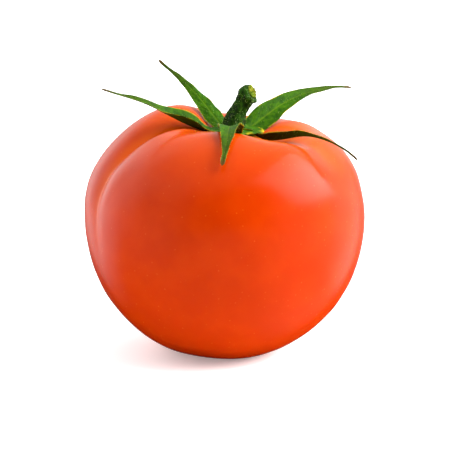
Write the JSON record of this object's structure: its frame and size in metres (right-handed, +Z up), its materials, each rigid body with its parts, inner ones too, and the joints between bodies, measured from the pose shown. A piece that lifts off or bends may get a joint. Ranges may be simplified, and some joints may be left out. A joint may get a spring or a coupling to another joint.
{
  "type": "tomato",
  "caption": "Ripe round red tomato with lobed shoulders, a star of green sepals and a short broken stalk, resting on its blossom end.",
  "frame": {"origin": "centre of the whole part's box, on the surface it rests on", "axes": "+Z up out of the resting surface, +X to the right of the front, +Y to the back"},
  "size_m": [0.0746, 0.0746, 0.0753],
  "materials": {
    "fruit_skin": "smooth waxy fruit skin, glossy, with faint pale specks",
    "calyx_green": "matt leaf green, mottled, downy at the edges",
    "stalk_green": "matt dark green, ribbed and hairy"
  },
  "bodies": {
    "root": {"fruit": "fruit_skin", "calyx_hub": "calyx_green", "sepal_left": "calyx_green", "sepal_back_left": "calyx_green", "sepal_back_right": "calyx_green", "sepal_right": "calyx_green", "sepal_front": "calyx_green", "stem": "stalk_green"}
  },
  "joints": []
}
